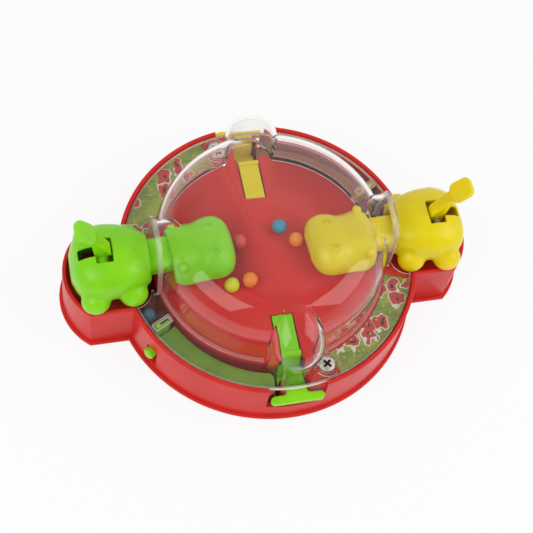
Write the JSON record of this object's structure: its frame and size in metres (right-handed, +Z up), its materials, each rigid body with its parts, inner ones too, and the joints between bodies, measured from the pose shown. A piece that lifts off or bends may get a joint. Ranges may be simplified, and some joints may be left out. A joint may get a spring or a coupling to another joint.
{
  "type": "ball-eating hippo game",
  "caption": "Two-player table game: red round base under a clear dome, with hippos that eat balls, ball ramps with gates, and spring launchers.",
  "frame": {"origin": "middle of the underside", "axes": "+X towards the yellow hippo, +Y towards the rear launcher, +Z up"},
  "size_m": [0.1954, 0.1448, 0.07],
  "materials": {
    "red_shell": "moulded, glossy",
    "green_parts": "moulded, glossy",
    "yellow_parts": "moulded, glossy",
    "clear_shell": "clear, polished",
    "ramp_plastic": "moulded, satin",
    "printed_card": "printed, coated",
    "screw_steel": "zinc plated",
    "blue_ball": "moulded, glossy",
    "orange_ball": "moulded, glossy",
    "red_ball": "moulded, glossy",
    "yellow_ball": "moulded, glossy"
  },
  "bodies": {
    "base": {"base_shell": "red_shell", "bottom_cover": "red_shell", "bottom_screw_1": "screw_steel", "bottom_screw_2": "screw_steel", "bottom_screw_3": "screw_steel", "bottom_screw_4": "screw_steel", "clear_cover": "clear_shell", "green_hippo_body": "green_parts", "green_front_screw": "screw_steel", "green_rear_screw": "screw_steel", "green_lever_pin": "screw_steel", "green_return_spring": "screw_steel", "green_ball_ramp": "ramp_plastic", "green_side_label": "printed_card", "green_cover_screw": "screw_steel", "yellow_hippo_body": "yellow_parts", "yellow_front_screw": "screw_steel", "yellow_rear_screw": "screw_steel", "yellow_lever_pin": "screw_steel", "yellow_return_spring": "screw_steel", "yellow_ball_ramp": "ramp_plastic", "yellow_side_label": "printed_card", "yellow_cover_screw": "screw_steel"},
    "green_lever": {"green_tail_lever": "green_parts"},
    "green_neck_slide": {"green_neck": "green_parts", "green_head_pin": "screw_steel"},
    "green_head_tip": {"green_head": "green_parts"},
    "green_gate_slide": {"green_gate": "green_parts"},
    "green_launcher_tongue": {"green_launcher": "green_parts"},
    "yellow_lever": {"yellow_tail_lever": "yellow_parts"},
    "yellow_neck_slide": {"yellow_neck": "yellow_parts", "yellow_head_pin": "screw_steel"},
    "yellow_head_tip": {"yellow_head": "yellow_parts"},
    "yellow_gate_slide": {"yellow_gate": "yellow_parts"},
    "yellow_launcher_tongue": {"yellow_launcher": "yellow_parts"},
    "blue_ball_loose": {"blue_ball": "blue_ball"},
    "orange_ball_loose": {"orange_ball": "orange_ball"},
    "red_ball_loose": {"red_ball": "red_ball"},
    "front_orange_ball_loose": {"front_orange_ball": "orange_ball"},
    "yellow_ball_loose": {"yellow_ball": "yellow_ball"},
    "tray_ball_loose": {"tray_ball": "blue_ball"}
  },
  "joints": [
    {"name": "green_lever_press", "type": "hinge", "parent": "base", "child": "green_lever", "pos_m": [-0.0775, 0, 0.0425], "axis": [0, -1, 0], "range_deg": [0, 38]},
    {"name": "green_neck_push", "type": "slide", "parent": "base", "child": "green_neck_slide", "axis": [0.998, 0.0628, 0], "range_m": [0, 0.00808], "stiffness_N_per_m": 60, "springref_m": -0.002},
    {"name": "green_head_lift", "type": "hinge", "parent": "green_neck_slide", "child": "green_head_tip", "pos_m": [-0.04386, 0.00177, 0.0344], "axis": [0.0628, -0.998, 0], "range_deg": [0, 6]},
    {"name": "green_gate_drop", "type": "slide", "parent": "base", "child": "green_gate_slide", "axis": [0, 0, -1], "range_m": [0, 0.0072]},
    {"name": "green_launcher_flick", "type": "hinge", "parent": "base", "child": "green_launcher_tongue", "pos_m": [0, -0.0325, 0.0206], "axis": [1, 0, 0], "range_deg": [0, 10.5], "stiffness_Nm_per_rad": 0.1, "springref_deg": -8.59},
    {"name": "yellow_lever_press", "type": "hinge", "parent": "base", "child": "yellow_lever", "pos_m": [0.0775, 0, 0.0425], "axis": [0, 1, 0], "range_deg": [0, 38]},
    {"name": "yellow_neck_push", "type": "slide", "parent": "base", "child": "yellow_neck_slide", "axis": [-0.998, -0.0628, 0], "range_m": [0, 0.00808], "stiffness_N_per_m": 60, "springref_m": -0.002},
    {"name": "yellow_head_lift", "type": "hinge", "parent": "yellow_neck_slide", "child": "yellow_head_tip", "pos_m": [0.04386, -0.00177, 0.0344], "axis": [-0.0628, 0.998, 0], "range_deg": [0, 6]},
    {"name": "yellow_gate_drop", "type": "slide", "parent": "base", "child": "yellow_gate_slide", "axis": [0, 0, -1], "range_m": [0, 0.0072]},
    {"name": "yellow_launcher_flick", "type": "hinge", "parent": "base", "child": "yellow_launcher_tongue", "pos_m": [0, 0.0325, 0.0206], "axis": [-1, 0, 0], "range_deg": [0, 10.5], "stiffness_Nm_per_rad": 0.1, "springref_deg": -8.59},
    {"name": "blue_ball_roll", "type": "hinge", "parent": "base", "child": "blue_ball_loose", "pos_m": [0.0073, 0.0121, 0.028], "axis": [0, 1, 0], "continuous": true},
    {"name": "orange_ball_roll", "type": "hinge", "parent": "base", "child": "orange_ball_loose", "pos_m": [0.0139, 0.0042, 0.028], "axis": [0, 1, 0], "continuous": true},
    {"name": "red_ball_roll", "type": "hinge", "parent": "base", "child": "red_ball_loose", "pos_m": [-0.013, 0.0066, 0.028], "axis": [0, 1, 0], "continuous": true},
    {"name": "front_orange_ball_roll", "type": "hinge", "parent": "base", "child": "front_orange_ball_loose", "pos_m": [-0.0116, -0.0135, 0.028], "axis": [0, 1, 0], "continuous": true},
    {"name": "yellow_ball_roll", "type": "hinge", "parent": "base", "child": "yellow_ball_loose", "pos_m": [-0.0203, -0.0149, 0.028], "axis": [0, 1, 0], "continuous": true},
    {"name": "tray_ball_roll", "type": "hinge", "parent": "base", "child": "tray_ball_loose", "pos_m": [-0.0594, -0.0217, 0.0205], "axis": [0, 1, 0], "continuous": true}
  ],
  "couplings": [
    {"joint": "green_lever_press", "follows": "green_neck_push", "rad_per_m": 82.08},
    {"joint": "green_head_lift", "follows": "green_neck_push", "rad_per_m": 12.952},
    {"joint": "yellow_lever_press", "follows": "yellow_neck_push", "rad_per_m": 82.08},
    {"joint": "yellow_head_lift", "follows": "yellow_neck_push", "rad_per_m": 12.952}
  ]
}
